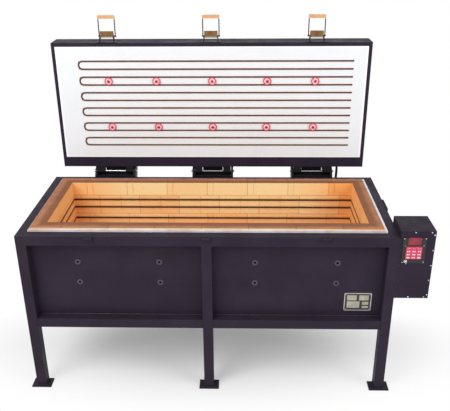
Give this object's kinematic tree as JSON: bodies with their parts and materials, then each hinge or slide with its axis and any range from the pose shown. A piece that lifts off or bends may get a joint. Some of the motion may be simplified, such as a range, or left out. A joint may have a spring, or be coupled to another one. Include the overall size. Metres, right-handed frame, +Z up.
{
  "type": "glass kiln",
  "caption": "Long top-opening electric glass kiln on a square-tube stand, firebrick chest with wall elements, wide fibre-lined lid standing open, toggle latches and a side control box",
  "frame": {"origin": "on the floor under the middle of the kiln's front face, on the underside of the front middle foot plate", "axes": "+X to the right for a person at the front, +Y from front to back, +Z up; the lid's hinge axis runs along X"},
  "size_m": [2.0315, 0.9434, 1.8052],
  "materials": {
    "frame_paint": "semi_gloss",
    "lid_paint": "semi_gloss",
    "box_paint": "semi_gloss",
    "hinge_paint": "semi_gloss",
    "galvanised_sheet": "satin",
    "bright_steel": "polished",
    "chrome_plate": "polished",
    "brass_plate": "satin",
    "element_alloy": "matte",
    "firebrick": "matte",
    "white_fibre": "matte",
    "ceramic_tube": "matte",
    "ceramic_button": "matte",
    "black_plastic": "matte",
    "display_lens": "gloss",
    "keypad_film": "matte",
    "circuit_board": "matte",
    "black_rubber": "matte"
  },
  "bodies": {
    "kiln_body": {"top_rails": "frame_paint", "bottom_rails": "frame_paint", "legs": "frame_paint", "foot_plates": "frame_paint", "floor_pan": "galvanised_sheet", "front_panel_left": "frame_paint", "front_panel_right": "frame_paint", "back_panel_left": "frame_paint", "back_panel_right": "frame_paint", "end_panel_left": "frame_paint", "end_panel_right": "frame_paint", "fibre_liner": "white_fibre", "floor_bricks": "firebrick", "front_bricks": "firebrick", "back_bricks": "firebrick", "left_bricks": "firebrick", "right_bricks": "firebrick", "wall_elements": "element_alloy", "terminal_bushings": "ceramic_tube", "thermocouple": "ceramic_tube", "port_tubes": "ceramic_tube", "port_rings": "bright_steel", "latch_keepers": "frame_paint", "side_plate": "frame_paint", "hinge_brackets": "hinge_paint", "hinge_pins": "bright_steel", "body_gland": "black_plastic", "lid_conduit": "black_rubber", "control_box_case": "box_paint", "control_box_front": "box_paint", "control_box_screws": "bright_steel", "controller_plate": "black_plastic", "controller_screws": "bright_steel", "display_window": "display_lens", "keypad": "keypad_film", "toggle_switch_body": "chrome_plate", "cord_inlet": "black_plastic", "controller_board": "circuit_board", "relays": "black_plastic", "terminal_block": "ceramic_tube", "transformer": "bright_steel"},
    "lid": {"lid_case": "lid_paint", "lid_fibre_panel": "white_fibre", "lid_elements": "element_alloy", "lid_buttons": "ceramic_button", "lid_button_pins": "element_alloy", "lid_backing_board": "white_fibre", "lid_terminal_strip": "ceramic_tube", "lid_gland": "black_plastic", "hinge_leaves": "hinge_paint", "latch_bases": "hinge_paint", "latch_pivots": "bright_steel"},
    "latch_lever_left": {"latch_lever_left": "brass_plate"},
    "latch_loop_left": {"latch_loop_left": "brass_plate"},
    "latch_lever_middle": {"latch_lever_middle": "brass_plate"},
    "latch_loop_middle": {"latch_loop_middle": "brass_plate"},
    "latch_lever_right": {"latch_lever_right": "brass_plate"},
    "latch_loop_right": {"latch_loop_right": "brass_plate"},
    "power_toggle": {"toggle_switch_lever": "chrome_plate"}
  },
  "joints": [
    {"name": "lid_hinge", "type": "hinge", "parent": "kiln_body", "child": "lid", "pos_m": [0, 0.801, 0.9225], "axis": [1, 0, 0], "range_deg": [0, 90], "deforming": ["lid_conduit"]},
    {"name": "latch_lever_left", "type": "hinge", "parent": "lid", "child": "latch_lever_left", "pos_m": [-0.566, 0.825, 1.6895], "axis": [-1, 0, 0], "range_deg": [-20, 64]},
    {"name": "latch_loop_left", "type": "hinge", "parent": "latch_lever_left", "child": "latch_loop_left", "pos_m": [-0.566, 0.8391, 1.69463], "axis": [1, 0, 0], "range_deg": [-36.03, 115.2]},
    {"name": "latch_lever_middle", "type": "hinge", "parent": "lid", "child": "latch_lever_middle", "pos_m": [0, 0.825, 1.6895], "axis": [-1, 0, 0], "range_deg": [-20, 64]},
    {"name": "latch_loop_middle", "type": "hinge", "parent": "latch_lever_middle", "child": "latch_loop_middle", "pos_m": [0, 0.8391, 1.69463], "axis": [1, 0, 0], "range_deg": [-36.03, 115.2]},
    {"name": "latch_lever_right", "type": "hinge", "parent": "lid", "child": "latch_lever_right", "pos_m": [0.572, 0.825, 1.6895], "axis": [-1, 0, 0], "range_deg": [-20, 64]},
    {"name": "latch_loop_right", "type": "hinge", "parent": "latch_lever_right", "child": "latch_loop_right", "pos_m": [0.572, 0.8391, 1.69463], "axis": [1, 0, 0], "range_deg": [-36.03, 115.2]},
    {"name": "power_toggle", "type": "hinge", "parent": "kiln_body", "child": "power_toggle", "pos_m": [0.952, -0.006, 0.774], "axis": [-1, 0, 0], "range_deg": [0, 24]}
  ],
  "couplings": [
    {"joint": "latch_loop_left", "follows": "latch_lever_left", "ratio": 1.7992},
    {"joint": "latch_loop_middle", "follows": "latch_lever_middle", "ratio": 1.7992},
    {"joint": "latch_loop_right", "follows": "latch_lever_right", "ratio": 1.7992}
  ]
}
